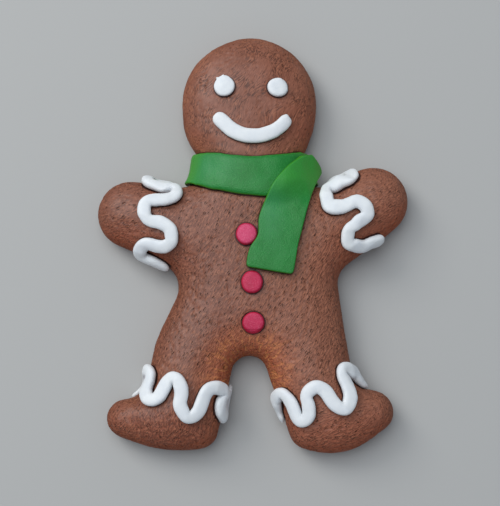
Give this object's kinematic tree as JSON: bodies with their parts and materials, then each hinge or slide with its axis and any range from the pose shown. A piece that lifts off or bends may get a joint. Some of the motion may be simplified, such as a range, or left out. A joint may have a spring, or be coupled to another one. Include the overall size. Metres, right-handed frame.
{
  "type": "gingerbread man cookie figure",
  "caption": "Flat-backed gingerbread man figure in modelling clay, with a scarf, wavy white icing at wrists and ankles, round buttons, eyes and a smile.",
  "frame": {"origin": "on the surface the figure lies on, under the middle of its outline", "axes": "+Z out of the decorated front, +Y towards the head, +X to the viewer's right"},
  "size_m": [0.075, 0.1006, 0.0172],
  "materials": {
    "brown_clay": "baked modelling clay, brushed and pitted",
    "white_clay": "baked modelling clay, smooth matt",
    "green_clay": "baked modelling clay, smooth matt",
    "red_clay": "baked modelling clay, smooth satin"
  },
  "bodies": {
    "root": {"body": "brown_clay", "eye_left": "white_clay", "eye_right": "white_clay", "smile": "white_clay", "icing_left_arm": "white_clay", "icing_right_arm": "white_clay", "icing_left_leg": "white_clay", "icing_right_leg": "white_clay", "scarf_band": "green_clay", "scarf_tail": "green_clay", "button_top": "red_clay", "button_middle": "red_clay", "button_bottom": "red_clay"}
  },
  "joints": []
}
